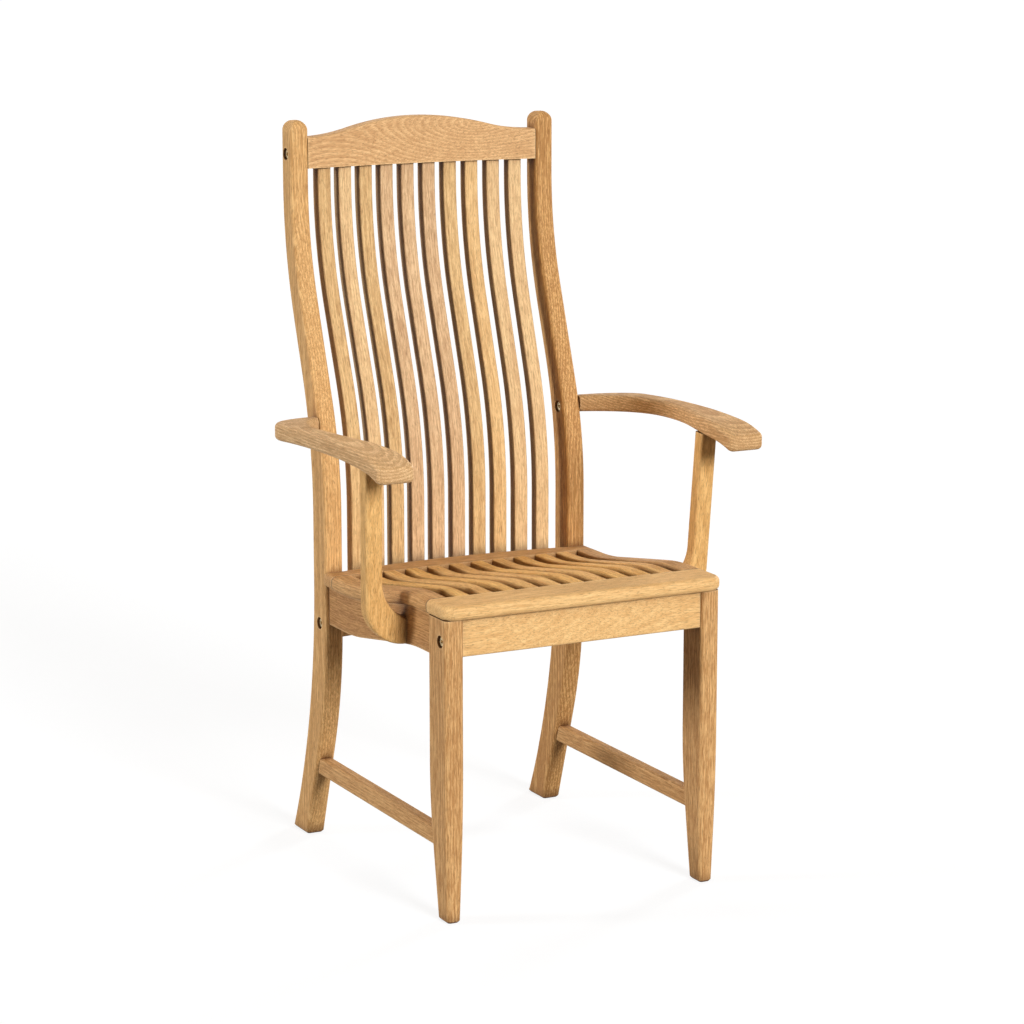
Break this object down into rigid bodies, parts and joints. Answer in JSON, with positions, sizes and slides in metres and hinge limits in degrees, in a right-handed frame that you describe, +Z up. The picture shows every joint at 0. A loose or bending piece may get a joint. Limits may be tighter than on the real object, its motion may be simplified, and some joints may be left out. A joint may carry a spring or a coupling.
{
  "type": "garden armchair",
  "caption": "High-backed slatted hardwood garden armchair with an S-curved hollow back, a sagging slatted seat and sickle-shaped arms on bent supports, bolted together.",
  "frame": {"origin": "middle of the chair's box in plan, on the floor that the feet stand on", "axes": "+Z up, -Y towards the front of the chair, +X to the right of someone who looks at its front"},
  "size_m": [0.61, 0.565, 1.081],
  "materials": {
    "frame_wood": "fine sanded golden-tan hardwood, unvarnished",
    "back_slat_wood": "fine sanded golden-tan hardwood, unvarnished",
    "seat_wood": "fine sanded golden-tan hardwood, unvarnished",
    "arm_wood": "fine sanded golden-tan hardwood, unvarnished",
    "dowel_wood": "plain hardwood dowel",
    "fastener_steel": "stainless steel, turned and brushed"
  },
  "bodies": {
    "root": {"back_leg_left": "frame_wood", "back_leg_right": "frame_wood", "front_leg_left": "frame_wood", "front_leg_right": "frame_wood", "crest_rail": "frame_wood", "lower_back_rail": "frame_wood", "front_apron": "frame_wood", "side_apron_left": "frame_wood", "side_apron_right": "frame_wood", "side_stretcher_left": "frame_wood", "side_stretcher_right": "frame_wood", "back_slat_01": "back_slat_wood", "back_slat_02": "back_slat_wood", "back_slat_03": "back_slat_wood", "back_slat_04": "back_slat_wood", "back_slat_05": "back_slat_wood", "back_slat_06": "back_slat_wood", "back_slat_07": "back_slat_wood", "back_slat_08": "back_slat_wood", "back_slat_09": "back_slat_wood", "back_slat_10": "back_slat_wood", "seat_front_rail": "seat_wood", "seat_rear_rail": "seat_wood", "seat_side_rail_left": "seat_wood", "seat_side_rail_right": "seat_wood", "seat_slat_01": "seat_wood", "seat_slat_02": "seat_wood", "seat_slat_03": "seat_wood", "seat_slat_04": "seat_wood", "seat_slat_05": "seat_wood", "seat_slat_06": "seat_wood", "seat_slat_07": "seat_wood", "seat_slat_08": "seat_wood", "seat_slat_09": "seat_wood", "seat_slat_10": "seat_wood", "arm_left": "arm_wood", "arm_right": "arm_wood", "arm_support_left": "arm_wood", "arm_support_right": "arm_wood", "crest_bolts": "fastener_steel", "lower_rail_bolts": "fastener_steel", "front_apron_bolts": "fastener_steel", "arm_bolts": "fastener_steel", "barrel_nuts": "fastener_steel", "arm_inserts": "fastener_steel", "support_screws": "fastener_steel", "seat_screws": "fastener_steel", "rail_dowels": "dowel_wood", "arm_dowels": "dowel_wood"}
  },
  "joints": []
}
